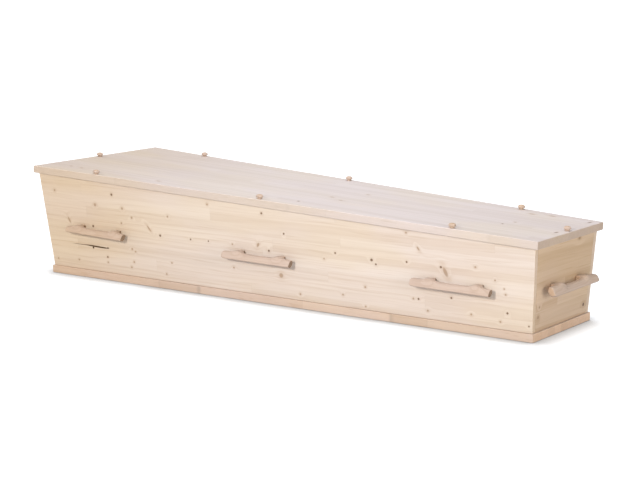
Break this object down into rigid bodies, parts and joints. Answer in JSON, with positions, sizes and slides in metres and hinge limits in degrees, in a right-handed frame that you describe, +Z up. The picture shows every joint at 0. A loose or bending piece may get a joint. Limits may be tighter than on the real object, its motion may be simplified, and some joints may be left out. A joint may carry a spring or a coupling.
{
  "type": "wooden coffin",
  "caption": "Plain tapered wooden coffin with outward-leaning walls, a thick base board, a flat lift-off lid, wooden bar handles round the sides and turned wooden lid knobs.",
  "frame": {"origin": "the middle of the base board's underside", "axes": "+X runs along the coffin from the wide head end to the narrow foot end, +Y across it, +Z up"},
  "size_m": [2.0942, 0.6944, 0.4175],
  "materials": {
    "board_wood": "planed pale spruce, glued from staves, matt",
    "base_wood": "planed pale spruce, a little pinker, matt",
    "lid_wood": "planed pale spruce, glued from staves, matt",
    "handle_wood": "smooth sanded pale wood, matt",
    "knob_wood": "turned pale wood, matt"
  },
  "bodies": {
    "root": {"base_board": "base_wood", "foot_board": "board_wood", "handle_back_foot": "handle_wood", "handle_back_head": "handle_wood", "handle_back_middle": "handle_wood", "handle_foot_end": "handle_wood", "handle_front_foot": "handle_wood", "handle_front_head": "handle_wood", "handle_front_middle": "handle_wood", "handle_head_end": "handle_wood", "head_board": "board_wood", "lid": "lid_wood", "lid_knob_back_foot": "knob_wood", "lid_knob_back_head": "knob_wood", "lid_knob_back_middle": "knob_wood", "lid_knob_foot_end": "knob_wood", "lid_knob_front_foot": "knob_wood", "lid_knob_front_head": "knob_wood", "lid_knob_front_middle": "knob_wood", "lid_knob_head_end": "knob_wood", "side_board_back": "board_wood", "side_board_front": "board_wood"}
  },
  "joints": []
}
